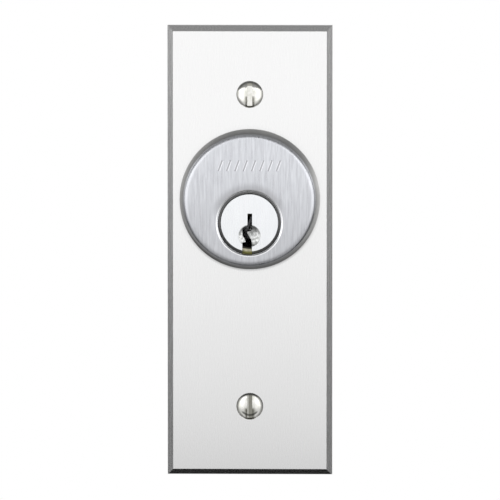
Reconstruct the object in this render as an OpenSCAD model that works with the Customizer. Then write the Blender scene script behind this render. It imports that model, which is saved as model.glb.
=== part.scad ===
// Narrow selector key switch: a bevelled faceplate carries a five-pin mortise cylinder.
// Behind the plate the cylinder's cam rocks the roller levers of two snap-action switches.
//
// Frame: +Z up, +X to the viewer's right, -Y out of the wall towards the user.
// Origin: centre of the mounting screw pattern, on the plate's back face.

/* [Faceplate] */
// Width of the plate
plate_w = 41.8; // [41:0.1:44]
// Height of the plate
plate_h = 114.3; // [112:0.1:121]
// Thickness of the plate
plate_t = 3.2; // [3.1:0.1:4]
// Width and depth of the bevel round the front
plate_bevel = 1.45; // [1:0.05:1.8]
// Distance between the mounting screws
screw_pitch = 79.4; // [79:0.1:84]
// Length of the mounting screws under the plate's front face
screw_length = 19; // [12:1:25]

/* [Mortise cylinder] */
// Height of the cylinder's axis above the plate's centre
cylinder_z = 13.1; // [12.6:0.1:13.6]
// Diameter of the cylinder head at the plate
head_d = 35.6; // [35:0.1:36.5]
// How far the head stands out of the plate
head_h = 4.6; // [4.4:0.1:5]
// Diameter of the threaded barrel
barrel_d = 29.2; // [29:0.1:29.3]
// Overall length of the cylinder, face to back
cylinder_l = 28.6; // [28.6:0.1:29]
// Drop from the cylinder's axis to the plug's axis
plug_drop = 5.75; // [5.5:0.05:6]
// Diameter of the plug
plug_d = 12.7; // [12.6:0.05:12.8]

/* [Motion] */
// How far the key turns each way, in degrees
key_swing = 60; // [40:1:60]
// Lever angle for each degree of plug turn
lever_ratio = 0.06; // [0.04:0.005:0.06]

/* [Hidden] */
$fn = 96;
fit = 0.04;          // radial running clearance
gap = 0.03;          // clearance between faces that rest on each other
e = 0.01;            // overrun of a cut past a face

// Positions along Y
front_y = -plate_t;
face_y = front_y - head_h;
shell_end = face_y + cylinder_l;
plug_face = face_y + 1;
flange_front = plug_face + 1.1;
flange_back = flange_front + 1.4;
plug_end = shell_end + 0.3;
cam_t = 3.2;
cam_end = plug_end + cam_t;

// Cylinder
plug_z = cylinder_z - plug_drop;
plug_r = plug_d / 2;
flange_d = 15.9;
face_boss_d = 14.85;
mouth_d = flange_d + 2 * fit;
mouth_r = 0.7;       // rounding of the hole that shows the plug
edge_r = 1.6;        // rounding of the head's front edge
head_draft = 16;     // slope of its side
head_rim = 0.35;     // straight rim against the plate
thread_pitch = 25.4 / 32;
thread_depth = 0.45;
set_groove = 2;      // depth twice over of the two grooves for a set screw
pins = 5;
pin_d = 2.92;
chamber_d = 3;
pin_pitch = 3.967;
first_pin = 5.87;
driver_l = 4.4;
shear_z = plug_z + plug_r;
cap_slot_z = cylinder_z + barrel_d / 2 - 1.2;
pin_lengths = [5.2, 4.6, 5.6, 4.9, 4.3];

// Mounting screws, number 6
csk_d = 6.85;
csk_half_angle = 41;
screw_head_d = 6.5;
screw_rim = 0.12;    // straight rim between the head's dome and its cone
screw_dome = 1.1;
screw_slot_w = 1.3;
screw_slot_rise = 0.25;  // height of the slot's floor over the dome's edge
screw_d = 3.5;
screw_neck_d = 3.2;
screw_taper = 0.1;   // how much thicker its neck is at the head
screw_root_d = 2.8;
screw_hole_d = 3.8;
screw_pilot = 3.2;   // where its thread starts

// Bracket
sheet = 1.2;
bracket_w = 35;
bracket_top = 32;
bracket_bottom = -29.2;
bracket_back = 19.9;
bracket_lip = -4.6;
pocket_clear = 0.2;
bend_r = 1.6;
wire_hole_z = -17.5;
wire_hole_d = 8;

// Snap-action switches: X is given for the right-hand one, and the left one mirrors it
switch_in = 8;
switch_out = 17.4;
switch_bottom = -27.7;
switch_top = -8.1;
switch_front = bracket_back + 0.3;
switch_back = switch_front + 6.4;
switch_mid = (switch_front + switch_back) / 2;
wall = 0.8;
pivot = [7.4, -25.4];
plunger_z = -17.4;
screw_spots = [[15.0, -23.2], [15.0, -12.6]];
switch_screw_d = 2.2;
blade_x = 10.3;
contact_z = -10.8;
lever_t = 0.5;
lever_w = 3.4;
lever_front = switch_mid - lever_w / 2;
lever_back = switch_mid + lever_w / 2;
curl_d = 1.9;
ear_t = 0.4;
hinge_pin_d = 0.8;
roller_pin_d = 1;
roller_r = 2.4;
roller_w = 2.5;
roller = [11.2, plug_z];
arm_x = roller[0] + roller_r + 0.45;
lever_x = pivot[0] - 0.85;

function switch_pieces() = ["switch_base", "switch_cover", "plunger", "lever", "hinge_pin", "roller",
    "roller_pin", "snap_blade", "terminal_common", "terminal_nc", "terminal_no"];

// ---------- helpers ----------

// Points of an arc about c, from angle a0 to a1
function arc(c, r, a0, a1, n = 8) = [for (i = [0 : n]) let (a = a0 + (a1 - a0) * i / n)
    c + r * [cos(a), sin(a)]];

function unit(v) = v / norm(v);
function left_of(v) = [-v[1], v[0]];

// Sideways direction at a path's point, mitred so that the strip keeps its thickness
function mitre(p, i) =
    let (a = i > 0 ? unit(p[i] - p[i - 1]) : unit(p[1] - p[0]))
    let (b = i < len(p) - 1 ? unit(p[i + 1] - p[i]) : a)
    let (m = unit(left_of(a) + left_of(b)))
    m / (m * left_of(a));

// Outline of a strip of thickness t along a path
function strip(p, t) = concat(
    [for (i = [0 : len(p) - 1]) p[i] + mitre(p, i) * t / 2],
    [for (i = [len(p) - 1 : -1 : 0]) p[i] - mitre(p, i) * t / 2]);

// A profile of [radius, y] points, turned about an axis along Y
module turned(x, z) translate([x, 0, z]) rotate([-90, 0, 0]) rotate_extrude() children();

module rod_y(x, z, y0, y1, d) translate([x, y0, z]) rotate([-90, 0, 0]) cylinder(d = d, h = y1 - y0);
module rod_z(x, y, z0, z1, d) translate([x, y, z0]) cylinder(d = d, h = z1 - z0);
module rod_x(y, z, x0, x1, d) translate([x0, y, z]) rotate([0, 90, 0]) cylinder(d = d, h = x1 - x0);
module box(lo, hi) translate(lo) cube(hi - lo);

// An outline of [x, z] points, drawn through y0 to y1
module plate_xz(y0, y1) translate([0, y1, 0]) rotate([90, 0, 0]) linear_extrude(y1 - y0) children();

// The right-hand switch's pieces, mirrored for the left
module on(side) mirror([side == "left" ? 1 : 0, 0, 0]) children();

// ---------- faceplate and its screws ----------

// Half section of a slab with its front edges bevelled, as [across, y]
function slab(w) = [[-w / 2, 0], [w / 2, 0], [w / 2, front_y + plate_bevel],
    [w / 2 - plate_bevel, front_y], [plate_bevel - w / 2, front_y], [-w / 2, front_y + plate_bevel]];

module faceplate() color("gainsboro") difference() {
    intersection() {
        translate([0, 0, -plate_h / 2]) linear_extrude(plate_h) polygon(slab(plate_w));
        translate([-plate_w / 2, 0, 0]) rotate([90, 0, 90]) linear_extrude(plate_w)
            polygon([for (p = slab(plate_h)) [p[1], p[0]]]);
    }
    rod_y(0, cylinder_z, front_y - 1, 1, barrel_d + 0.3);
    box([-bracket_w / 2 - pocket_clear, -sheet - gap, bracket_bottom - pocket_clear],
        [bracket_w / 2 + pocket_clear, 1, bracket_top + pocket_clear]);
    for (s = [-1, 1]) {
        rod_y(0, s * screw_pitch / 2, front_y - 1, 1, screw_hole_d);
        turned(0, s * screw_pitch / 2) polygon([[0, front_y - e], [csk_d / 2, front_y - e],
            [csk_d / 2, front_y], [screw_hole_d / 2, csk_bottom(csk_d, screw_hole_d)],
            [0, csk_bottom(csk_d, screw_hole_d)]]);
    }
}

// Where a countersink of diameter d meets a hole of diameter hole
function csk_bottom(d, hole) = front_y + (d - hole) / 2 / tan(csk_half_angle);

// Oval head machine screw with a straight slot
module mounting_screw(z) color("silver") translate([0, 0, z]) {
    head_r = screw_head_d / 2;
    slope = tan(csk_half_angle);
    seat_y = front_y + ((csk_d - screw_head_d) / 2 - gap / cos(csk_half_angle)) / slope;
    rim_y = seat_y - screw_rim;
    dome_r = (pow(head_r, 2) + pow(screw_dome, 2)) / (2 * screw_dome);
    dome_half = asin(head_r / dome_r);
    neck_y = seat_y + (screw_head_d - screw_neck_d) / 2 / slope - screw_taper / slope;
    tip = front_y + screw_length;
    turns = floor((tip - 1 - screw_pilot) / thread_pitch);
    difference() {
        turned(0, 0) polygon(concat(
            arc([0, rim_y - screw_dome + dome_r], dome_r, -90, dome_half - 90, 10),
            [[head_r, seat_y], [screw_neck_d / 2 + screw_taper, neck_y], [screw_neck_d / 2, 0.1],
                [screw_d / 2, 0.1], [screw_d / 2, screw_pilot]],
            [for (i = [0 : turns - 1], k = [[screw_d, 0.1], [screw_root_d, 0.35], [screw_root_d, 0.45],
                [screw_d, 0.7]]) [k[0] / 2, screw_pilot + i * thread_pitch + k[1]]],
            [[screw_d / 2, tip - 0.6], [1.3, tip], [0, tip]]));
        box([-screw_slot_w / 2, rim_y - 3, -5], [screw_slot_w / 2, rim_y - screw_slot_rise, 5]);
    }
}

// ---------- mortise cylinder ----------

// Section of the shell: head with a rounded edge and a sloping side, then the threaded barrel
function shell_profile() =
    let (r = barrel_d / 2, root = r - thread_depth)
    let (turns = floor((cylinder_l - head_h - 1.4) / thread_pitch))
    let (slope_h = head_h - head_rim - edge_r * (1 - sin(head_draft)))
    let (flat_r = head_d / 2 - slope_h * tan(head_draft) - edge_r * cos(head_draft))
    concat(
        [[0, face_y]],
        arc([flat_r, face_y + edge_r], edge_r, -90, -head_draft, 14),
        [[head_d / 2, front_y - head_rim], [head_d / 2, front_y - gap], [root, front_y - gap]],
        [for (i = [0 : turns - 1], k = [[root, 0.62], [r, 0.95], [r, 1.09], [root, 1.41]])
            [k[0], front_y + i * thread_pitch + k[1]]],
        [[root, shell_end - 0.3], [root - 0.3, shell_end], [0, shell_end]]);

function pin_y(i) = plug_face + first_pin + (i - 1) * pin_pitch;

// A row of shallow V-shaped strokes pressed into the head's face
module stamped_row() {
    strokes = 8;
    step = 2.1;
    for (i = [0 : strokes - 1])
        translate([(i - (strokes - 1) / 2) * step, face_y, cylinder_z + 8.8]) rotate([0, 20, 0])
            translate([0, 0, -1.4]) linear_extrude(2.8) polygon([[-0.4, -e], [0.4, -e], [0, 0.16]]);
}

module cylinder_shell() color("lightsteelblue") difference() {
    turned(0, cylinder_z) polygon(shell_profile());
    rod_y(0, plug_z, face_y - 1, shell_end + 1, plug_d + 2 * fit);
    rod_y(0, plug_z, face_y - 1, flange_back + fit, mouth_d);
    turned(0, plug_z) polygon(concat(
        [[0, face_y - e], [mouth_d / 2 + mouth_r, face_y - e]],
        arc([mouth_d / 2 + mouth_r, face_y + mouth_r], mouth_r, 270, 180, 6),
        [[0, face_y + mouth_r]]));
    for (i = [1 : pins]) rod_z(0, pin_y(i), plug_z, cap_slot_z + 1, chamber_d);
    box([-2.25, front_y + 0.4, cap_slot_z], [2.25, shell_end - 2, cylinder_z + barrel_d]);
    for (s = [-1, 1]) translate([s * barrel_d / 2, 4, cylinder_z])
        box([-set_groove / 2, 0, -1.5], [set_groove / 2, shell_end, 1.5]);
    stamped_row();
}

// Warded keyway, open at the bottom of the plug, as [x, z] from the plug's axis
keyway = [[-0.5, 2.35], [0.68, 2.35], [0.68, -1.75], [0.3, -2.1], [-0.5, -2.3], [-0.6, -2.6],
    [-0.25, -3.3], [0.4, -4.25], [0.62, -5.1], [0.64, -9], [-1.8, -9], [-1.8, -5.05], [-0.95, -4.85],
    [-1.2, -4.2], [-1.75, -3.3], [-1.78, -1.5], [-1.3, -1.1], [-0.5, -0.8]];
key_guide = [0.03, -3.3];
key_guide_r = 2.8;
key_guide_depth = 0.95;
cam_screw_x = 4.4;
cam_screw_d = 2.2;

module cylinder_plug() color("whitesmoke") difference() {
    turned(0, plug_z) polygon([[0, plug_face], [face_boss_d / 2 - 0.2, plug_face],
        [face_boss_d / 2, plug_face + 0.2], [face_boss_d / 2, flange_front], [flange_d / 2, flange_front],
        [flange_d / 2, flange_back], [plug_r, flange_back], [plug_r, plug_end], [0, plug_end]]);
    translate([0, 0, plug_z]) plate_xz(plug_face - 1, plug_end + 1) polygon(keyway);
    ball = (pow(key_guide_r, 2) + pow(key_guide_depth, 2)) / (2 * key_guide_depth);
    translate([key_guide[0], plug_face + key_guide_depth - ball, plug_z + key_guide[1]]) sphere(ball);
    for (i = [1 : pins]) rod_z(0, pin_y(i), plug_z - 2.4, plug_z + plug_r + 1, chamber_d);
    for (s = [-1, 1]) rod_y(s * cam_screw_x, plug_z, plug_end - 4.5, plug_end + 1, cam_screw_d + 0.1);
}

// Key pin: domed top at the shear line, conical tip in the keyway
module bottom_pin(i) color("goldenrod") translate([0, pin_y(i), shear_z - 0.05]) rotate_extrude()
    polygon([[0, 0], [0.7, 0], [pin_d / 2, -0.2], [pin_d / 2, 0.9 - pin_lengths[i - 1]],
        [0.45, -pin_lengths[i - 1]], [0, -pin_lengths[i - 1]]]);

module driver_pin(i) color("tan") translate([0, pin_y(i), shear_z + 0.06]) rotate_extrude()
    polygon([[0, 0], [1.2, 0], [pin_d / 2, 0.25], [pin_d / 2, driver_l - 0.25], [1.2, driver_l],
        [0, driver_l]]);

// Coil spring between a driver pin and the chamber cap, swept along its helix
module pin_spring(i) {
    wire = 0.3;
    coil_r = 1.15;
    z0 = shear_z + 0.06 + driver_l + wire / 2 + gap;
    z1 = cap_slot_z - wire / 2 - gap;
    turns = 7;
    steps = 12;
    sides = 6;
    rings = turns * steps;
    function ring_point(k, j) = let (a = 360 * k / steps, b = 360 * j / sides)
        let (r = coil_r + wire / 2 * cos(b), z = z0 + (z1 - z0) * k / rings)
        [r * cos(a), r * sin(a), z + wire / 2 * sin(b)];
    color("silver") translate([0, pin_y(i), 0]) polyhedron(
        points = [for (k = [0 : rings], j = [0 : sides - 1]) ring_point(k, j)],
        faces = concat(
            [[for (j = [0 : sides - 1]) j]],
            [for (k = [0 : rings - 1], j = [0 : sides - 1]) let (n = (j + 1) % sides)
                [k * sides + j, (k + 1) * sides + j, (k + 1) * sides + n, k * sides + n]],
            [[for (j = [sides - 1 : -1 : 0]) rings * sides + j]]));
}

// Brass strip that closes the pin chambers
module chamber_cap() color("goldenrod")
    box([-2.2, front_y + 0.5, cap_slot_z + gap], [2.2, shell_end - 2.1, cap_slot_z + 0.98]);

// ---------- cam ----------

// Turns [x, z] by a, from Z towards X
function turn_xz(p, a) = [p[0] * cos(a) + p[1] * sin(a), p[1] * cos(a) - p[0] * sin(a)];

// The roller's centre, seen from the cam, when the plug has turned by t
function roller_path(t) =
    let (pivot_to_plug = pivot - [0, plug_z])
    let (swung = pivot_to_plug + turn_xz(roller - pivot, -lever_ratio * t))
    turn_xz(swung, -t);

// The cam's edge under the roller at that turn
function cam_point(t) =
    let (along = unit(roller_path(t + 1) - roller_path(t - 1)))
    let (out = [along[1], -along[0]])
    roller_path(t) - out * (roller_r + 0.05);

function cam_outline() =
    let (reach = key_swing + 4, step = 4)
    let (right = [for (t = [-reach : step : reach]) cam_point(t)])
    let (top = right[len(right) - 1], low = right[0])
    let (a_top = atan2(top[1], top[0]), a_low = atan2(low[1], low[0]))
    concat(
        right,
        [for (k = [1 : 7]) let (a = a_top + (180 - 2 * a_top) * k / 8) norm(top) * [cos(a), sin(a)]],
        [for (k = [len(right) - 1 : -1 : 0]) [-right[k][0], right[k][1]]],
        [for (k = [1 : 9]) let (a = 180 - a_low + (2 * a_low + 180) * k / 10) norm(low) * [cos(a), sin(a)]]);

module cam() color("slategray") difference() {
    translate([0, 0, plug_z]) plate_xz(plug_end + gap, cam_end) polygon(cam_outline());
    for (s = [-1, 1]) rod_y(s * cam_screw_x, plug_z, plug_end - 1, cam_end + 1, cam_screw_d + 0.2);
}

// Two fillister head screws that hold the cam on the plug
module cam_screws() color("silver") for (s = [-1, 1]) difference() {
    turned(s * cam_screw_x, plug_z) polygon([[0, plug_end - 4], [0.8, plug_end - 4],
        [cam_screw_d / 2, plug_end - 3.7], [cam_screw_d / 2, cam_end + gap], [1.9, cam_end + gap],
        [1.9, cam_end + 0.8], [1.6, cam_end + 1.25], [0, cam_end + 1.45]]);
    translate([s * cam_screw_x, 0, plug_z]) rotate([0, s * 35, 0])
        box([-3, cam_end + 0.75, -0.3], [3, cam_end + 2, 0.3]);
}

// ---------- clamping and bracket ----------

// Threaded ring that clamps the bracket and the plate against the cylinder head
module lock_ring() color("darkgray") difference() {
    rod_y(0, cylinder_z, gap, 2.8, barrel_d + 5);
    rod_y(0, cylinder_z, -1, 4, barrel_d + 0.16);
    for (a = [45 : 90 : 315]) translate([0, 0, cylinder_z]) rotate([0, a, 0])
        box([barrel_d / 2 + 1.2, -1, -1.6], [barrel_d, 4, 1.6]);
}

// Side view of the bent bracket, as [y, z] at the middle of its sheet
function bracket_path() = concat(
    [[-sheet / 2, bracket_top]],
    arc([-sheet / 2 + bend_r, bracket_bottom + sheet / 2 + bend_r], bend_r, 180, 270),
    arc([bracket_back - sheet / 2 - bend_r, bracket_bottom + sheet / 2 + bend_r], bend_r, -90, 0),
    [[bracket_back - sheet / 2, bracket_lip]]);

module switch_bracket() color("lightgray") difference() {
    translate([-bracket_w / 2, 0, 0]) rotate([90, 0, 90]) linear_extrude(bracket_w)
        polygon(strip(bracket_path(), sheet));
    rod_y(0, cylinder_z, -3, 3, barrel_d + 0.3);
    for (s = [-1, 1], p = screw_spots)
        rod_y(s * p[0], p[1], bracket_back - 3, bracket_back + 1, switch_screw_d + 0.1);
    rod_y(0, wire_hole_z, bracket_back - 3, bracket_back + 1, wire_hole_d);
}

// Fibre sheet between the bracket and the switches
module insulator_sheet() color("saddlebrown") difference() {
    box([0.2 - bracket_w / 2, bracket_back + gap, bracket_bottom + 1.9],
        [bracket_w / 2 - 0.2, switch_front - gap, bracket_lip - 0.4]);
    for (s = [-1, 1], p = screw_spots)
        rod_y(s * p[0], p[1], bracket_back - 1, switch_front + 1, switch_screw_d + 0.2);
    rod_y(0, wire_hole_z, bracket_back - 1, switch_front + 1, wire_hole_d);
}

module switch_screws() color("silver") for (s = [-1, 1], p = screw_spots) difference() {
    turned(s * p[0], p[1]) polygon([[0, bracket_back - 2.2], [0.8, bracket_back - 2.2],
        [switch_screw_d / 2, bracket_back - 1.9], [switch_screw_d / 2, switch_back + gap],
        [2.0, switch_back + gap], [2.0, switch_back + 0.7], [1.6, switch_back + 1.2],
        [0, switch_back + 1.4]]);
    translate([s * p[0], 0, p[1]]) rotate([0, 30 + s * 15, 0]) for (a = [0, 90]) rotate([0, a, 0])
        box([-1.1, switch_back + 0.6, -0.22], [1.1, switch_back + 2, 0.22]);
}

// ---------- snap-action switch ----------

cavity_lo = [switch_in + wall, switch_front + wall, switch_bottom + wall];
cavity_hi = [switch_out - wall, switch_back - wall, switch_top - wall];
boss_d = 4.2;
terminal_t = 0.5;
terminal_w = 2.5;
terminal_end = switch_back + 4.6;
common_z = -26.1;
nc_x = 9.25;
no_x = 12.2;
contact_tab_z = -11.2;

module switch_base() color("dimgray") difference() {
    union() {
        difference() {
            box([switch_in, switch_front, switch_bottom], [switch_out, cavity_hi[1] - gap, switch_top]);
            box(cavity_lo, [cavity_hi[0], switch_back + 1, cavity_hi[2]]);
        }
        for (p = screw_spots) rod_y(p[0], p[1], switch_front + e, cavity_hi[1] - gap, boss_d);
        for (y = [[switch_front, lever_front - 0.07], [lever_back + 0.07, cavity_hi[1] - gap]])
            box([pivot[0] - 0.9, y[0], pivot[1] - 1.1], [switch_in + 0.2, y[1], pivot[1] + 1.1]);
    }
    rod_y(pivot[0], pivot[1], lever_front - 0.07, lever_back + 0.07, curl_d + 0.2);
    for (p = screw_spots) rod_y(p[0], p[1], switch_front - 1, switch_back + 1, switch_screw_d + 0.1);
    rod_y(pivot[0], pivot[1], switch_front - 1, switch_back + 1, hinge_pin_d + 2 * fit);
    rod_x(switch_mid, plunger_z, switch_in - 1, switch_in + 1.5, 1.9);
}

module switch_cover() color("darkslategray") difference() {
    box([switch_in, cavity_hi[1], switch_bottom], [switch_out, switch_back, switch_top]);
    for (p = screw_spots) rod_y(p[0], p[1], switch_front - 1, switch_back + 1, switch_screw_d + 0.1);
    box([blade_x - 1.4, switch_front, common_z - 0.3], [blade_x + 1.4, switch_back + 1, common_z + 0.3]);
    for (x = [nc_x, no_x]) box([x - 0.3, switch_front, contact_tab_z - 1.35],
        [x + 0.3, switch_back + 1, contact_tab_z + 1.35]);
}

// Push button between the lever and the snap blade
module plunger() color("firebrick") translate([0, switch_mid, plunger_z]) rotate([0, 90, 0]) rotate_extrude()
    polygon(concat(arc([0, lever_x + lever_t / 2 + gap + 0.9], 0.9, -90, 0, 6),
        [[0.9, 9.35], [1.4, 9.35], [1.4, blade_x - 0.125 - gap], [0, blade_x - 0.125 - gap]]));

// Sheet lever: a curl round the hinge pin, a joggled arm and two ears for the roller
function lever_path() = [[lever_x, pivot[1] + 0.9], [lever_x, switch_top + 0.7], [arm_x, 0.6],
    [arm_x, roller[1] + 2.2]];

module lever() color("silver") difference() {
    union() {
        plate_xz(lever_front, lever_back) polygon(strip(lever_path(), lever_t));
        rod_y(pivot[0], pivot[1], lever_front, lever_back, curl_d);
        box([lever_x - lever_t / 2, lever_front, pivot[1] - 0.2], [pivot[0], lever_back, pivot[1] + 0.95]);
        for (y = [lever_front, lever_back - ear_t]) {
            rod_y(roller[0], roller[1], y, y + ear_t, 3);
            box([roller[0], y, roller[1] - 1.5], [arm_x, y + ear_t, roller[1] + 1.5]);
        }
    }
    rod_y(pivot[0], pivot[1], switch_front, switch_back, hinge_pin_d + 2 * fit);
    rod_y(roller[0], roller[1], switch_front, switch_back, roller_pin_d + 0.02);
}

module hinge_pin() color("gray")
    rod_y(pivot[0], pivot[1], switch_front + 0.1, cavity_hi[1] - 0.1, hinge_pin_d);

module roller_wheel() color("ivory") difference() {
    rod_y(roller[0], roller[1], switch_mid - roller_w / 2, switch_mid + roller_w / 2, 2 * roller_r);
    rod_y(roller[0], roller[1], switch_front, switch_back, roller_pin_d + 2 * fit);
}

// Pin with a riveted head at each end
module roller_pin() color("gray") turned(roller[0], roller[1]) polygon([
    [0, lever_front - 0.3], [0.8, lever_front - 0.3], [0.8, lever_front - gap],
    [roller_pin_d / 2, lever_front - gap], [roller_pin_d / 2, lever_back + gap],
    [0.8, lever_back + gap], [0.8, lever_back + 0.3], [0, lever_back + 0.3]]);

// Spring leaf with a contact rivet, resting on the normally closed contact
module snap_blade() color("goldenrod") {
    box([blade_x - 0.12, switch_mid - 1.3, common_z + 0.3],
        [blade_x + 0.12, switch_mid + 1.3, contact_z + 1.2]);
    rod_x(switch_mid, contact_z, blade_x - 0.35, blade_x + 0.35, 1.6);
}

// Common terminal, with the foot that holds the snap blade
module terminal_common() color("silver") difference() {
    union() {
        box([blade_x - terminal_w / 2, switch_front + 1.2, common_z - terminal_t / 2],
            [blade_x + terminal_w / 2, terminal_end, common_z + terminal_t / 2]);
        box([blade_x + 0.12 + gap, switch_mid - 1.3, common_z],
            [blade_x + 0.62, switch_mid + 1.3, common_z + 2]);
    }
    rod_z(blade_x, terminal_end - 1.4, common_z - 2, common_z + 2, 1.3);
}

// Fixed contact terminal at x, its rivet facing the blade
module contact_terminal(x, rivet_end) color("silver") difference() {
    union() {
        box([x - terminal_t / 2, switch_front + 1.2, contact_tab_z - terminal_w / 2],
            [x + terminal_t / 2, terminal_end, contact_tab_z + terminal_w / 2]);
        rod_x(switch_mid, contact_z, min(x, rivet_end), max(x, rivet_end), 1.6);
    }
    rod_x(terminal_end - 1.4, contact_tab_z, x - 2, x + 2, 1.3);
}

module terminal_nc() contact_terminal(nc_x, blade_x - 0.35 - gap);
module terminal_no() contact_terminal(no_x, blade_x + 1.3);

module switch_piece(name) {
    if (name == "switch_base") switch_base();
    if (name == "switch_cover") switch_cover();
    if (name == "plunger") plunger();
    if (name == "lever") lever();
    if (name == "hinge_pin") hinge_pin();
    if (name == "roller") roller_wheel();
    if (name == "roller_pin") roller_pin();
    if (name == "snap_blade") snap_blade();
    if (name == "terminal_common") terminal_common();
    if (name == "terminal_nc") terminal_nc();
    if (name == "terminal_no") terminal_no();
}

faceplate();
mounting_screw(screw_pitch / 2);  // screw_top
mounting_screw(-screw_pitch / 2);  // screw_bottom
cylinder_shell();
cylinder_plug();
chamber_cap();
cam();
cam_screws();
lock_ring();
switch_bracket();
insulator_sheet();
switch_screws();
for (i = [1 : pins]) {
    bottom_pin(i);
    driver_pin(i);
    pin_spring(i);
}
for (name = switch_pieces(), side = ["left", "right"])
    on(side) switch_piece(name);
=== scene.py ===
"""Looks of the narrow key switch: camera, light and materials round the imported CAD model."""

import math

import bmesh
import bpy
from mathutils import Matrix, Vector


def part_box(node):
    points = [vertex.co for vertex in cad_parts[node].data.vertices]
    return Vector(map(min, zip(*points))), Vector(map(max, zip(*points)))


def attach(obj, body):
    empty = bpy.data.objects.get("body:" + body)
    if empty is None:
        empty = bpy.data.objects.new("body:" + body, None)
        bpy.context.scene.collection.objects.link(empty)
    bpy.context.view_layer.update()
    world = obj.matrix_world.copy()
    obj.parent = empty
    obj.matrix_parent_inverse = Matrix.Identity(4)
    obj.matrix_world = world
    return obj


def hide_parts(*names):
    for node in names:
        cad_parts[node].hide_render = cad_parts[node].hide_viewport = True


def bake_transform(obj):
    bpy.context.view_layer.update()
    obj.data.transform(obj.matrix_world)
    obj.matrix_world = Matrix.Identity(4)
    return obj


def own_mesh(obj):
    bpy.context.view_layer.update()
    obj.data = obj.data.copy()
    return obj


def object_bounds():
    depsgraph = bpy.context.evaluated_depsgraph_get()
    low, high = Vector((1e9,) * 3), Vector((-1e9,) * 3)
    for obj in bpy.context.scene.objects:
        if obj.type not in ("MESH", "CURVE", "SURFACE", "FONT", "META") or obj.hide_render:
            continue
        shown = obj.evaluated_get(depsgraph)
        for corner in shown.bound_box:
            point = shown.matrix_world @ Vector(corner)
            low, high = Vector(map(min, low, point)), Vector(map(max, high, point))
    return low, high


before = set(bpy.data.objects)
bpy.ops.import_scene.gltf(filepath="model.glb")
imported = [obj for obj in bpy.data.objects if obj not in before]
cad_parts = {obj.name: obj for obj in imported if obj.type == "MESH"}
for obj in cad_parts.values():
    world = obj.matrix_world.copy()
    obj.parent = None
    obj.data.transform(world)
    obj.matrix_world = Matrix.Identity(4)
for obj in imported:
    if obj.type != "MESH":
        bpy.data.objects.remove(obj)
cad_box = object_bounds()

MM = 0.001


# ---------- places, read from the frame ----------

plate_lo, plate_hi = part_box("faceplate")
shell_lo, shell_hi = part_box("cylinder_shell")
plug_lo, plug_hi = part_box("cylinder_plug")
front_y = plate_lo.y
face_y = shell_lo.y
shell_end = shell_hi.y
head_r = (shell_hi.x - shell_lo.x) / 2
cylinder_z = (shell_lo.z + shell_hi.z) / 2
flange_r = (plug_hi.x - plug_lo.x) / 2
plug_z = (plug_lo.z + plug_hi.z) / 2
plug_face_y = plug_lo.y
screw_lo, screw_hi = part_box("screw_top")
screw_z = (screw_lo.z + screw_hi.z) / 2


# ---------- camera ----------

CAMERA_ELEVATION = math.radians(5.0)
CAMERA_AZIMUTH = math.radians(1.5)
LENS = 600.0
SENSOR = 36.0
VIEW_WIDTH = 126.8 * MM


def make_camera():
    aim = Vector((0.05 * MM, front_y, 0.16 * MM))
    distance = VIEW_WIDTH * LENS / SENSOR
    back = Vector((
        math.sin(CAMERA_AZIMUTH) * math.cos(CAMERA_ELEVATION),
        -math.cos(CAMERA_AZIMUTH) * math.cos(CAMERA_ELEVATION),
        math.sin(CAMERA_ELEVATION),
    ))
    camera = bpy.data.objects.new("camera", bpy.data.cameras.new("camera"))
    bpy.context.scene.collection.objects.link(camera)
    camera.data.lens = LENS
    camera.data.sensor_width = SENSOR
    camera.location = aim + back * distance
    camera.rotation_mode = "QUATERNION"
    camera.rotation_quaternion = (-back).to_track_quat("-Z", "Y")
    camera.data.clip_start = 0.05
    camera.data.clip_end = 50
    bpy.context.scene.camera = camera


make_camera()


# ---------- node trees ----------

class Graph:
    """Adds nodes to a tree. Each method returns the new node's output, ready to plug in elsewhere."""

    def __init__(self, tree):
        self.tree = tree
        tree.nodes.clear()

    def node(self, kind, inputs=None, **settings):
        node = self.tree.nodes.new("ShaderNode" + kind)
        for key, value in settings.items():
            setattr(node, key, value)
        for key, value in (inputs or {}).items():
            if isinstance(value, bpy.types.NodeSocket):
                self.tree.links.new(value, node.inputs[key])
            else:
                node.inputs[key].default_value = value
        return node

    def math(self, operation, *values):
        return self.node("Math", dict(enumerate(values)), operation=operation).outputs[0]

    def ramp(self, value, low, high, out_low=0.0, out_high=1.0, smooth=True):
        """value taken from low..high to out_low..out_high, and held there outside."""
        kind = "SMOOTHSTEP" if smooth else "LINEAR"
        inputs = {"Value": value, "From Min": low, "From Max": high, "To Min": out_low, "To Max": out_high}
        return self.node("MapRange", inputs, interpolation_type=kind).outputs["Result"]

    def mix(self, factor, a, b):
        """Colour a where factor is 0 and b where it is 1."""
        node = self.node("Mix", data_type="RGBA")
        for socket, value in ((node.inputs[0], factor), (node.inputs[6], a), (node.inputs[7], b)):
            if isinstance(value, bpy.types.NodeSocket):
                self.tree.links.new(value, socket)
            else:
                socket.default_value = value
        return node.outputs[2]

    def shade(self, colour, level):
        """Colour times a number."""
        return self.node("VectorMath", {0: colour, "Scale": level}, operation="SCALE").outputs[0]

    def blend(self, factor, a, b):
        """Number a where factor is 0 and b where it is 1."""
        return self.node("Mix", {0: factor, 2: a, 3: b}, data_type="FLOAT").outputs[0]

    def noise(self, coords, scale, stretch=(1, 1, 1), detail=2.0, roughness=0.5):
        """Noise with scale features a metre, fewer along an axis whose stretch is over 1."""
        spread = tuple(scale / s for s in stretch)
        scaled = self.node("VectorMath", {0: coords, 1: spread}, operation="MULTIPLY").outputs[0]
        inputs = {"Vector": scaled, "Scale": 1.0, "Detail": detail, "Roughness": roughness}
        return self.node("TexNoise", inputs).outputs["Fac"]


def rgb(r, g, b):
    return (r, g, b, 1.0)


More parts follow.
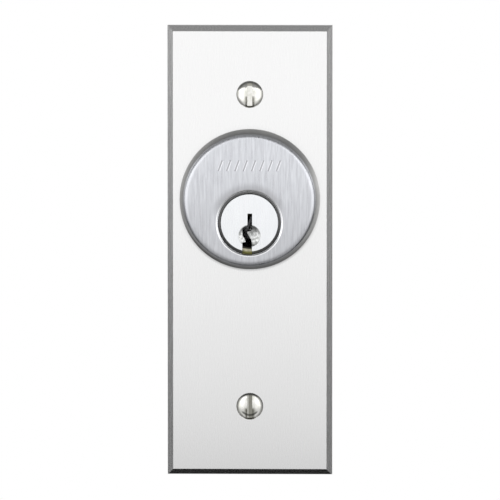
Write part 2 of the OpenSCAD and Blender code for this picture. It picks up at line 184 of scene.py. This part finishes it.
class Finish(Graph):
    """A material's graph: coordinates in the row frame, and one Principled shader."""

    def __init__(self, name, edge=0.12 * MM):
        self.material = bpy.data.materials.new(name)
        self.material.use_nodes = True
        super().__init__(self.material.node_tree)
        self.coords = self.node("TexCoord").outputs["Object"]
        xyz = self.node("SeparateXYZ", {0: self.coords}).outputs
        self.x, self.y, self.z = xyz[0], xyz[1], xyz[2]
        self.rounded = self.node("Bevel", {"Radius": edge}, samples=4).outputs[0]

    def radius(self, z):
        """Distance from an axis along Y at a height."""
        return self.length(self.x, self.math("SUBTRACT", self.z, z))

    def length(self, across, up):
        squares = self.math("ADD", self.math("MULTIPLY", across, across), self.math("MULTIPLY", up, up))
        return self.math("SQRT", squares)

    def edges(self):
        """1 along sharp edges, where the rounded normal leaves the surface's own, and 0 on flat ground."""
        flat = self.node("NewGeometry").outputs["Normal"]
        same = self.node("VectorMath", {0: self.rounded, 1: flat}, operation="DOT_PRODUCT").outputs["Value"]
        return self.ramp(same, 0.80, 0.99, 1, 0)

    def build(self, colour, roughness, metallic=1.0, height=None, relief=0.01 * MM, **more):
        inputs = {"Base Color": colour, "Roughness": roughness, "Metallic": metallic, "Normal": self.rounded}
        inputs.update({key.replace("_", " ").title().replace("Ior", "IOR"): v for key, v in more.items()})
        if height is not None:
            bump = {"Height": height, "Distance": relief, "Strength": 1.0, "Normal": self.rounded}
            inputs["Normal"] = self.node("Bump", bump).outputs[0]
        shader = self.node("BsdfPrincipled", inputs)
        self.tree.links.new(shader.outputs[0], self.node("OutputMaterial").inputs["Surface"])
        return self.material


def faceplate_metal():
    """Fine satin on the front, mill finish on the edges and the back."""
    m = Finish("plate_satin")
    grain = m.noise(m.coords, 9000, stretch=(1, 1, 80), detail=3)
    cloud = m.noise(m.coords, 60, detail=2)
    hairline = m.ramp(m.noise(m.coords, 2500, stretch=(1, 1, 120), detail=1), 0.74, 0.80)
    satin = m.math("ADD", m.ramp(grain, 0.3, 0.7, 0.923, 0.932), m.ramp(cloud, 0.3, 0.7, -0.002, 0.002))
    satin = m.math("SUBTRACT", satin, m.math("MULTIPLY", hairline, 0.010))
    rolled = m.noise(m.coords, 2500, stretch=(1, 1, 25), detail=4)
    stain = m.noise(m.coords, 130, detail=4)
    mill = m.math("ADD", m.ramp(rolled, 0.3, 0.7, 0.66, 0.78), m.ramp(stain, 0.4, 0.8, 0.0, -0.10))
    behind = m.ramp(m.y, -1.4 * MM, -1.2 * MM)
    # Painted contact shadow on the plate round the cylinder head's base, deepest below the head.
    contact = m.radius(cylinder_z)
    under = m.ramp(m.z, cylinder_z - head_r, cylinder_z, 0.55, 0.97)
    shade = m.ramp(contact, head_r - 0.1 * MM, head_r + 0.8 * MM, under, 1.0)
    colour = m.math("MULTIPLY", m.blend(behind, satin, mill), shade)
    rough = m.blend(behind, m.ramp(grain, 0.3, 0.7, 0.23, 0.28), m.ramp(rolled, 0.3, 0.7, 0.34, 0.46))
    height = m.blend(behind, grain, m.math("MULTIPLY", rolled, 3.0))
    return m.build(colour, rough, height=height, relief=0.0008 * MM)


def cylinder_metal():
    """Satin chrome head, brushed upright and darker on its side, with painted shade low down and painted
    light and shade on its side and round the plug; bare brass behind.
    """
    m = Finish("cylinder_satin_chrome")
    upright = m.noise(m.coords, 2600, stretch=(1, 1, 14), detail=4, roughness=0.6)
    patches = m.noise(m.coords, 420, stretch=(1, 1, 3), detail=3)
    out = m.radius(cylinder_z)
    from_plug = m.radius(plug_z)
    depth = m.math("SUBTRACT", m.y, face_y)
    brushed = m.mix(m.ramp(upright, 0.3, 0.7), rgb(0.61, 0.62, 0.655), rgb(0.79, 0.805, 0.845))
    brushed = m.mix(m.ramp(patches, 0.4, 0.7, 0, 0.5), brushed, rgb(0.68, 0.695, 0.73))
    # Painted shade: the face grows darker towards the bottom.
    low = m.ramp(m.z, cylinder_z - 16 * MM, cylinder_z + 12 * MM, 0.32, 0)
    brushed = m.mix(low, brushed, rgb(0.36, 0.36, 0.37))
    # Painted shade on the face's outer edge in its lower half.
    painted_lower_rim_shade = m.math("MULTIPLY", m.ramp(out, 14.8 * MM, 16.5 * MM),
        m.ramp(m.z, cylinder_z, cylinder_z - 8 * MM))
    brushed = m.shade(brushed, m.blend(painted_lower_rim_shade, 1.0, 0.72))
    soft_shade = m.math("MULTIPLY", m.ramp(from_plug, flange_r + 2.8 * MM, flange_r + 0.7 * MM),
        m.ramp(m.z, plug_z + 1 * MM, plug_z + 6 * MM))
    brushed = m.mix(m.math("MULTIPLY", soft_shade, 0.5), brushed, rgb(0.30, 0.30, 0.31))
    # Painted highlight on the rounded mouth round the plug, fading to painted shade at its top.
    mouth = m.math("MULTIPLY", m.ramp(depth, 0.01 * MM, 0.05 * MM),
        m.ramp(from_plug, flange_r + 1.2 * MM, flange_r + 0.7 * MM))
    painted_mouth_highlight = m.mix(m.ramp(m.z, plug_z + 1.5 * MM, plug_z + 5.5 * MM), rgb(0.92, 0.925, 0.94),
        rgb(0.56, 0.56, 0.57))
    brushed = m.mix(mouth, brushed, painted_mouth_highlight)
    # Painted light and shade on the head's side: darker towards the bottom and the left, a little darker at
    # the top, lighter to the right.
    painted_side_light = m.math("MULTIPLY", m.ramp(m.z, cylinder_z - head_r, cylinder_z, 0.24, 1.0),
        m.ramp(m.z, cylinder_z + 3 * MM, cylinder_z + 12 * MM, 1.0, 0.68))
    painted_side_light = m.math("MULTIPLY", painted_side_light, m.ramp(m.x, -head_r, head_r, 0.62, 1.1))
    # Painted reflection and shade on the head's side: in the lower half lighter by the face and darker by
    # the plate, in the upper half the other way round, and darker at the upper right.
    near_plate = m.ramp(depth, 1.2 * MM, 4.2 * MM, smooth=False)
    upper = m.ramp(m.z, cylinder_z - 12 * MM, cylinder_z - 2 * MM)
    low_edge = m.ramp(m.x, -14 * MM, -2 * MM, 0.5, 0.8)
    high_edge = m.ramp(m.z, cylinder_z, cylinder_z + 8 * MM, 1.2, 1.55)
    painted_side_reflection = m.blend(upper, m.blend(near_plate, 1.35, low_edge), m.blend(near_plate, 0.78, high_edge))
    upper_right = m.math("MULTIPLY", m.ramp(m.x, 3 * MM, 11 * MM),
        m.ramp(m.z, cylinder_z + 3 * MM, cylinder_z + 11 * MM))
    painted_side_reflection = m.blend(upper_right, painted_side_reflection, m.math("MULTIPLY", painted_side_reflection, 0.55))
    painted_side_light = m.math("MULTIPLY", painted_side_light, painted_side_reflection)
    side = m.shade(m.mix(m.ramp(upright, 0.3, 0.7), rgb(0.34, 0.34, 0.335), rgb(0.41, 0.41, 0.405)), painted_side_light)
    wall = m.ramp(depth, 0.5 * MM, 1.2 * MM)
    chrome = m.mix(wall, brushed, side)
    row = m.math("MULTIPLY", m.ramp(m.math("ABSOLUTE", m.x), 9.6 * MM, 9.4 * MM),
        m.ramp(m.z, cylinder_z + 6.9 * MM, cylinder_z + 7.1 * MM))
    row = m.math("MULTIPLY", row, m.ramp(m.z, cylinder_z + 10.8 * MM, cylinder_z + 10.6 * MM))
    # Painted highlight on the rims of the stamped marks, painted shade on their floors.
    rim = m.math("MULTIPLY", row, m.ramp(depth, 0.01 * MM, 0.05 * MM, 0, 0.5))
    floor = m.math("MULTIPLY", row, m.ramp(depth, 0.05 * MM, 0.09 * MM, 0, 0.8))
    chrome = m.mix(floor, m.mix(rim, chrome, rgb(0.97, 0.975, 0.99)), rgb(0.30, 0.30, 0.32))
    tarnish = m.noise(m.coords, 700, detail=4)
    brass = m.mix(m.ramp(tarnish, 0.35, 0.7), rgb(0.74, 0.55, 0.25), rgb(0.54, 0.38, 0.16))
    root = m.ramp(out, 14.1 * MM, 14.45 * MM, 0.55, 0)
    brass = m.mix(root, brass, rgb(0.26, 0.18, 0.08))
    # The bore inside the ring round the plug: grime colour, blackened further in as painted shade, with a
    # painted dark patch at the bottom.
    bore_grime_and_painted_shade = m.mix(m.ramp(from_plug, 7.2 * MM, 7.8 * MM), rgb(0.80, 0.76, 0.58), rgb(0.34, 0.33, 0.12))
    bore_grime_and_painted_shade = m.shade(bore_grime_and_painted_shade, m.math("MULTIPLY", m.ramp(tarnish, 0.35, 0.65, 1.1, 0.7),
        m.ramp(from_plug, 6.7 * MM, 6.95 * MM, 0.05, 1.0)))
    seen = m.math("MULTIPLY", m.ramp(m.z, plug_z - 6 * MM, plug_z - 6.6 * MM),
        m.ramp(m.math("ABSOLUTE", m.x), 2.4 * MM, 2.0 * MM))
    bore_grime_and_painted_shade = m.mix(seen, rgb(0.09, 0.09, 0.09), bore_grime_and_painted_shade)
    bore = m.math("MULTIPLY", m.ramp(from_plug, flange_r + 0.3 * MM, flange_r + 0.1 * MM),
        m.ramp(depth, 0.7 * MM, 0.95 * MM))
    bare = m.ramp(m.y, front_y - 0.1 * MM, front_y + 0.3 * MM)
    colour = m.mix(bore, m.mix(bare, chrome, brass), bore_grime_and_painted_shade)
    satin = m.blend(wall, m.blend(mouth, 0.32, 0.18), 0.45)
    rough = m.math("ADD", m.blend(bare, satin, 0.27), m.ramp(upright, 0.3, 0.7, -0.05, 0.05))
    rough = m.blend(bore, rough, 0.5)
    # Painted shade: weaker reflections on the lower left of the side, next to the plate.
    lower_left = m.math("MULTIPLY", m.ramp(m.x, -2 * MM, -10 * MM),
        m.ramp(m.z, cylinder_z - 4 * MM, cylinder_z - 12 * MM))
    tint = m.mix(m.math("MULTIPLY", lower_left, near_plate), rgb(1, 1, 1), rgb(0.55, 0.55, 0.55))
    return m.build(colour, rough, height=upright, relief=0.003 * MM, specular_tint=tint)


def plug_metal():
    """White satin chrome face; brass body, blackened in the ring and the keyway, partly by graphite and
    mostly by painted shade.
    """
    m = Finish("plug_satin_chrome", edge=0.08 * MM)
    upright = m.noise(m.coords, 6000, stretch=(1, 1, 40), detail=3)
    white = m.mix(m.ramp(upright, 0.3, 0.7), rgb(0.90, 0.915, 0.94), rgb(0.95, 0.965, 0.985))
    depth = m.math("SUBTRACT", m.y, plug_face_y)
    guide_z = plug_z - 3.3 * MM
    film = m.noise(m.coords, 1600, detail=3)
    # A film in the dimple, darkened in its upper half as painted shade.
    dimple_film_and_painted_shade = m.mix(m.ramp(film, 0.35, 0.65), rgb(0.42, 0.43, 0.42), rgb(0.86, 0.87, 0.87))
    dimple_film_and_painted_shade = m.shade(dimple_film_and_painted_shade, m.ramp(m.z, guide_z + 0.3 * MM, guide_z + 2.3 * MM, 0.86, 0.24))
    dimple = m.math("MULTIPLY", m.ramp(depth, 0.02 * MM, 0.08 * MM),
        m.ramp(m.radius(guide_z), 3.0 * MM, 2.85 * MM))
    white = m.mix(dimple, white, dimple_film_and_painted_shade)
    out = m.radius(plug_z)
    lip = m.ramp(m.math("ABSOLUTE", m.math("SUBTRACT", m.radius(guide_z), 2.76 * MM)), 0.16 * MM, 0.05 * MM)
    white = m.mix(m.math("MULTIPLY", lip, 0.55), white, rgb(0.50, 0.51, 0.50))
    tarnish = m.noise(m.coords, 900, detail=3)
    brass = m.mix(m.ramp(tarnish, 0.35, 0.7), rgb(0.72, 0.54, 0.25), rgb(0.50, 0.36, 0.16))
    # The ring and the keyway near black, partly graphite and mostly painted shade: darker lower down and
    # deeper in, a lighter grey at the ring's outer edge.
    graphite_and_painted_shade = m.mix(m.ramp(m.z, plug_z - 1.3 * MM, plug_z - 0.5 * MM), rgb(0.016, 0.015, 0.014),
        rgb(0.05, 0.052, 0.05))
    graphite_and_painted_shade = m.mix(m.ramp(out, 7.25 * MM, 7.4 * MM), graphite_and_painted_shade, m.mix(m.ramp(m.z, plug_z - 4 * MM, plug_z),
        rgb(0.12, 0.12, 0.12), rgb(0.24, 0.24, 0.24)))
    black = m.math("MULTIPLY", m.ramp(depth, 0.12 * MM, 0.7 * MM), m.blend(dimple, 1.0, 0.0))
    end = m.ramp(m.y, shell_end - 1 * MM, shell_end)
    colour = m.mix(black, white, m.mix(end, graphite_and_painted_shade, brass))
    rough = m.math("ADD", m.blend(black, 0.26, 0.45), m.ramp(upright, 0.3, 0.7, -0.04, 0.04))
    return m.build(colour, rough, height=upright, relief=0.002 * MM)


SLOT_FLOOR_OUT = 0.214 * MM   # how far the screw slots' floor stands out of the plate


def nickel():
    """Bright plate, a little warm, with painted shade in and next to the slots and round the rims, most on
    the lower screw.
    """
    m = Finish("bright_nickel", edge=0.06 * MM)
    marks = m.noise(m.coords, 4000, detail=4)
    film = m.noise(m.coords, 900, detail=3)
    colour = m.mix(m.ramp(film, 0.35, 0.7), rgb(0.92, 0.91, 0.88), rgb(0.78, 0.78, 0.72))
    lower = m.ramp(m.z, -1 * MM, 1 * MM, 1, 0)
    up = m.math("SUBTRACT", m.z, m.blend(lower, screw_z, -screw_z))
    across = m.math("ABSOLUTE", m.x)
    out = m.length(across, up)
    # Painted shade on the slot floors, at the upper slot's top end and the lower slot's right side, and on
    # the head next to each slot below its centre, varied by noise.
    from_slot_floor = m.math("ABSOLUTE", m.math("SUBTRACT", m.y, front_y - SLOT_FLOOR_OUT))
    slot = m.math("MULTIPLY", m.ramp(across, 0.67 * MM, 0.65 * MM),
        m.ramp(from_slot_floor, 0.05 * MM, 0.02 * MM))
    slot_floor = m.blend(lower, m.ramp(up, 2.0 * MM, 2.3 * MM, 0.0, 0.75),
        m.ramp(m.x, -0.45 * MM, -0.15 * MM, 0.35, 0.82))
    painted_shade_by_slot = m.math("MULTIPLY", m.ramp(across, 1.5 * MM, 0.8 * MM), m.ramp(up, -0.1 * MM, -0.8 * MM))
    painted_shade_by_slot = m.math("MULTIPLY", painted_shade_by_slot, m.ramp(marks, 0.25, 0.6, 0.45, 0.95))
    colour = m.mix(m.blend(slot, painted_shade_by_slot, slot_floor), colour, rgb(0.17, 0.165, 0.13))
    # Painted shade round each head's rim, deepest on the lower screw's upper half and left out at the bottom
    # of each head.
    dark = m.blend(m.math("MULTIPLY", lower, m.ramp(up, -1 * MM, 1 * MM)), 0.45, 0.22)
    dark = m.blend(m.ramp(up, -2.2 * MM, -2.9 * MM), dark, 1.0)
    rim = m.blend(m.ramp(out, 2.55 * MM, 3.1 * MM), 1.0, dark)
    # Painted dark arc, a dark reflection, on the lower screw below its centre.
    painted_dark_arc = m.math("MULTIPLY", m.ramp(out, 1.8 * MM, 2.1 * MM), m.ramp(out, 2.6 * MM, 2.3 * MM))
    painted_dark_arc = m.math("MULTIPLY", painted_dark_arc, m.math("MULTIPLY", lower, m.ramp(up, -1.0 * MM, -1.5 * MM)))
    colour = m.shade(colour, m.math("MULTIPLY", rim, m.blend(painted_dark_arc, 1.0, 0.3)))
    rough = m.ramp(marks, 0.3, 0.7, 0.12, 0.2)
    return m.build(colour, rough, height=marks, relief=0.004 * MM)


def brass():
    m = Finish("turned_brass", edge=0.05 * MM)
    film = m.noise(m.coords, 1100, detail=4)
    turned = m.noise(m.coords, 9000, stretch=(8, 8, 1), detail=2)
    colour = m.mix(m.ramp(film, 0.35, 0.7), rgb(0.80, 0.60, 0.27), rgb(0.62, 0.43, 0.17))
    return m.build(colour, m.ramp(turned, 0.3, 0.7, 0.18, 0.32), height=turned, relief=0.002 * MM)


def zinc():
    """Zinc plate with a faint yellow passivation and rubbed edges."""
    m = Finish("zinc_plate", edge=0.15 * MM)
    spangle = m.noise(m.coords, 1400, detail=1)
    film = m.noise(m.coords, 220, detail=3)
    colour = m.mix(m.ramp(spangle, 0.35, 0.65), rgb(0.60, 0.61, 0.63), rgb(0.70, 0.71, 0.72))
    colour = m.mix(m.ramp(film, 0.45, 0.75, 0, 0.4), colour, rgb(0.68, 0.63, 0.48))
    colour = m.mix(m.math("MULTIPLY", m.edges(), 0.5), colour, rgb(0.80, 0.80, 0.80))
    return m.build(colour, m.ramp(spangle, 0.3, 0.7, 0.28, 0.42), height=spangle, relief=0.004 * MM)


def steel(name, light, dark, rough):
    """Drawn or stamped metal: fine lines along its height, and darker stains."""
    m = Finish(name, edge=0.08 * MM)
    drawn = m.noise(m.coords, 3500, stretch=(1, 1, 12), detail=3)
    film = m.noise(m.coords, 500, detail=3)
    colour = m.mix(m.ramp(drawn, 0.3, 0.7), dark, light)
    colour = m.mix(m.ramp(film, 0.5, 0.8, 0, 0.4), colour, rgb(0.34, 0.31, 0.28))
    rough = m.math("ADD", rough, m.ramp(drawn, 0.3, 0.7, -0.05, 0.05))
    return m.build(colour, rough, height=drawn, relief=0.003 * MM)


def plastic(name, light, dark, rough, pebble=2600, relief=0.008 * MM, coat=0.0):
    """Moulded plastic with a fine pebble, and a painted highlight along its edges."""
    m = Finish(name)
    grain = m.noise(m.coords, pebble, detail=2)
    film = m.noise(m.coords, 180, detail=3)
    colour = m.mix(m.ramp(film, 0.3, 0.7), dark, light)
    # Painted highlight along the edges.
    colour = m.mix(m.math("MULTIPLY", m.edges(), 0.5), colour, m.shade(colour, 1.6))
    rough = m.math("ADD", rough, m.ramp(grain, 0.3, 0.7, -0.06, 0.06))
    return m.build(colour, rough, metallic=0.0, height=grain, relief=relief, coat_weight=coat)


def fibre():
    m = Finish("pressed_fibre", edge=0.05 * MM)
    strands = m.noise(m.coords, 1500, stretch=(5, 1, 1), detail=4, roughness=0.7)
    crossed = m.noise(m.coords, 1500, stretch=(1, 1, 5), detail=4, roughness=0.7)
    weave = m.math("MULTIPLY", m.math("ADD", strands, crossed), 0.5)
    colour = m.mix(m.ramp(weave, 0.35, 0.65), rgb(0.10, 0.055, 0.03), rgb(0.24, 0.14, 0.08))
    return m.build(colour, m.ramp(weave, 0.3, 0.7, 0.6, 0.8), metallic=0.0, height=weave, relief=0.02 * MM)


def dress(material, *nodes):
    """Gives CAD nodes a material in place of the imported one."""
    for name in nodes:
        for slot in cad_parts[name].material_slots:
            slot.material = material


PINS = range(1, 6)
SIDES = ("left", "right")


def both(name):
    return [f"{name}_{side}" for side in SIDES]


dress(faceplate_metal(), "faceplate")
dress(cylinder_metal(), "cylinder_shell")
dress(plug_metal(), "cylinder_plug")
dress(nickel(), "screw_top", "screw_bottom")
dress(brass(), "chamber_cap", *[f"{kind}_pin_{i}" for i in PINS for kind in ("bottom", "driver")])
dress(zinc(), "lock_ring", "switch_bracket", "cam_screws", "switch_screws",
    *both("hinge_pin"), *both("roller_pin"))
dress(steel("cam_steel", rgb(0.44, 0.44, 0.46), rgb(0.34, 0.34, 0.36), 0.34), "cam")
dress(steel("spring_steel", rgb(0.66, 0.66, 0.68), rgb(0.54, 0.54, 0.56), 0.26),
    *both("lever"), *[f"pin_spring_{i}" for i in PINS])
dress(steel("copper_leaf", rgb(0.80, 0.50, 0.28), rgb(0.68, 0.40, 0.22), 0.28), *both("snap_blade"))
dress(steel("tinned_brass", rgb(0.74, 0.73, 0.68), rgb(0.62, 0.61, 0.56), 0.30),
    *[name for kind in ("common", "nc", "no") for name in both("terminal_" + kind)])
dress(plastic("black_case", rgb(0.028, 0.028, 0.030), rgb(0.018, 0.018, 0.019), 0.52),
    *both("switch_base"), *both("switch_cover"))
dress(plastic("red_button", rgb(0.50, 0.03, 0.02), rgb(0.40, 0.02, 0.015), 0.28, coat=0.3), *both("plunger"))
dress(plastic("nylon", rgb(0.80, 0.77, 0.68), rgb(0.74, 0.70, 0.60), 0.38, pebble=4000), *both("roller"))
dress(fibre(), "insulator_sheet")


# ---------- spring and blade copies ----

FOOT_HELD = 1.9 * MM     # lengths of a snap blade's foot and tip that stay put
TIP_HELD = 2.2 * MM
PUSH_SPARE = 0.15 * MM   # how far the straight middle reaches past the button
BOW_STEPS = 6
WELD = 0.001 * MM


def copy_of(node, name):
    obj = bpy.data.objects.new(name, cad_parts[node].data.copy())
    bpy.context.scene.collection.objects.link(obj)
    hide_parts(node)
    return obj


def coil(i):
    """A pin spring copied onto a mesh of its own and carried by the housing."""
    node = f"pin_spring_{i}"
    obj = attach(copy_of(node, f"coil_{i}"), "housing")
    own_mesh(obj)


def slice_mesh(mesh, cuts, keep_from, keep_to):
    """Keeps what lies above keep_from or below keep_to, closed there, and adds edges at the other cuts."""
    bm = bmesh.new()
    bm.from_mesh(mesh)
    bmesh.ops.remove_doubles(bm, verts=bm.verts, dist=WELD)
    for z in cuts:
        whole = bm.verts[:] + bm.edges[:] + bm.faces[:]
        done = bmesh.ops.bisect_plane(bm, geom=whole, dist=WELD, plane_co=(0, 0, z), plane_no=(0, 0, 1),
            clear_inner=z == keep_from, clear_outer=z == keep_to)
        if z in (keep_from, keep_to):
            rim = [e for e in done["geom_cut"] if isinstance(e, bmesh.types.BMEdge)]
            bmesh.ops.holes_fill(bm, edges=rim)
    bmesh.ops.recalc_face_normals(bm, faces=bm.faces)
    bm.to_mesh(mesh)
    bm.free()
    mesh.shade_flat()


def bowed_blade(side):
    """A snap blade in two halves, parted at the button's middle, with edge loops cut from its foot and its
    contact end towards the button.
    """
    node = "snap_blade_" + side
    button_lo, button_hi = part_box("plunger_" + side)
    low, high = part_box(node)
    middle = (button_lo.z + button_hi.z) / 2
    flat = (button_hi.z - button_lo.z) / 2 + PUSH_SPARE
    halves = {
        "foot": (low.z + FOOT_HELD, middle - flat, (None, middle)),
        "tip": (high.z - TIP_HELD, middle + flat, (middle, None)),
    }
    for half, (still, moved, limits) in halves.items():
        obj = copy_of(node, f"blade_{half}_{side}")
        cuts = [still + (moved - still) * k / BOW_STEPS for k in range(BOW_STEPS + 1)] + [middle]
        slice_mesh(obj.data, cuts, *limits)
        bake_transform(obj)


for i in PINS:
    coil(i)
for side in SIDES:
    bowed_blade(side)


# ---------- light and floor ----------

def sky():
    """A grey studio: mid grey above and at the sides, dark below. The camera sees white."""
    world = bpy.data.worlds.new("studio")
    world.use_nodes = True
    bpy.context.scene.world = world
    g = Graph(world.node_tree)
    direction = g.node("TexCoord").outputs["Generated"]
    up = g.node("SeparateXYZ", {0: direction}).outputs[2]
    below = g.ramp(up, -0.8, -0.1, 0.004, 0.29)
    level = g.ramp(up, 0.2, 0.9, 0.0, -0.03)
    grey = g.math("ADD", below, level)
    seen = g.node("LightPath").outputs["Is Camera Ray"]
    strength = g.blend(seen, grey, 1.0)
    shader = g.node("Background", {"Color": rgb(1, 1, 1), "Strength": strength})
    g.tree.links.new(shader.outputs[0], g.node("OutputWorld").inputs["Surface"])


def flat_mesh(name, corners, material):
    mesh = bpy.data.meshes.new(name)
    mesh.from_pydata(corners, [], [range(len(corners))])
    mesh.materials.append(material)
    obj = bpy.data.objects.new(name, mesh)
    bpy.context.scene.collection.objects.link(obj)
    return obj


def glow(name, strength_of, one_sided=False):
    """An emission material; strength_of builds its strength from the graph and its coordinates."""
    material = bpy.data.materials.new(name)
    material.use_nodes = True
    g = Graph(material.node_tree)
    xyz = g.node("SeparateXYZ", {0: g.node("TexCoord").outputs["Object"]}).outputs
    shader = g.node("Emission", {"Color": rgb(1, 1, 1), "Strength": strength_of(g, xyz)}).outputs[0]
    if one_sided:
        behind = g.node("NewGeometry").outputs["Backfacing"]
        clear = g.node("BsdfTransparent").outputs[0]
        shader = g.node("MixShader", {0: behind, 1: shader, 2: clear}).outputs[0]
    g.tree.links.new(shader, g.node("OutputMaterial").inputs["Surface"])
    return material


CARD_Y = -0.104
CARD_TOP = 0.120
CARD_BOTTOM = -0.40
CARD_LEFT = -0.80
CARD_RIGHT = 0.45
SIDE_DEPTH = 0.20


def light_card(name, corners, strength_of):
    card = flat_mesh(name, corners, glow(name + "_glow", strength_of))
    card.visible_camera = False
    card.visible_shadow = False


def front_card():
    """The white front of the light tent, dimmer towards the floor. The camera looks through it."""
    corners = [(CARD_LEFT, CARD_Y, CARD_BOTTOM), (CARD_LEFT, CARD_Y, CARD_TOP),
        (CARD_RIGHT, CARD_Y, CARD_TOP), (CARD_RIGHT, CARD_Y, CARD_BOTTOM)]

    def strength(g, xyz):
        below = g.math("MAXIMUM", g.math("SUBTRACT", 0.015, xyz[2]), 0.0)
        low = g.math("MAXIMUM", g.math("SUBTRACT", -0.055, xyz[2]), 0.0)
        fall = g.math("ADD", g.math("MULTIPLY", below, 3.1), g.math("MULTIPLY", low, 5.3))
        middle = g.math("MAXIMUM", g.math("SUBTRACT", 1.0, fall), 0.48)
        aside = g.ramp(g.math("ABSOLUTE", xyz[0]), 0.045, 0.085, 1.0, 1.45)
        above = g.ramp(xyz[2], 0.06, 0.09, 1.0, 1.2)
        return g.math("MULTIPLY", middle, g.math("MULTIPLY", aside, above))

    light_card("front_card", corners, strength)


def side_cards():
    """The tent's grey side walls, darker towards the floor."""
    for name, x, low, high in (("left", CARD_LEFT, 0.055, 0.40), ("right", CARD_RIGHT, 0.085, 0.365)):
        corners = [(x, CARD_Y, -0.3), (x, CARD_Y, 0.3), (x, SIDE_DEPTH, 0.3), (x, SIDE_DEPTH, -0.3)]
        light_card("side_card_" + name, corners,
            lambda g, xyz, low=low, high=high: g.ramp(xyz[2], -0.13, 0.12, low, high, smooth=False))


def back_cards():
    """Three upright cards behind, which light the works and leave the front as it is."""
    posts = [(-0.42, 0.12), (-0.12, 0.45), (0.12, 0.45), (0.42, 0.12)]
    levels = {"left": (0.5, 1.5), "middle": (0.35, 0.9), "right": (0.5, 1.5)}
    for (name, (low, high)), a, b in zip(levels.items(), posts, posts[1:]):
        corners = [(*a, -0.12), (*a, 0.26), (*b, 0.26), (*b, -0.12)]
        light_card("back_card_" + name, corners,
            lambda g, xyz, low=low, high=high: g.ramp(xyz[2], -0.12, 0.2, low, high))


def floor():
    half = 20.0
    z = cad_box[0].z - 0.06
    corners = [(-half, -half, z), (half, -half, z), (half, half, z), (-half, half, z)]
    obj = flat_mesh("floor", corners, glow("floor_glow", lambda g, xyz: 1.0, one_sided=True))
    obj.visible_glossy = False
    obj.visible_diffuse = False
    obj.visible_shadow = False


sky()
front_card()
side_cards()
back_cards()
floor()
bpy.context.scene.view_settings.view_transform = "Standard"
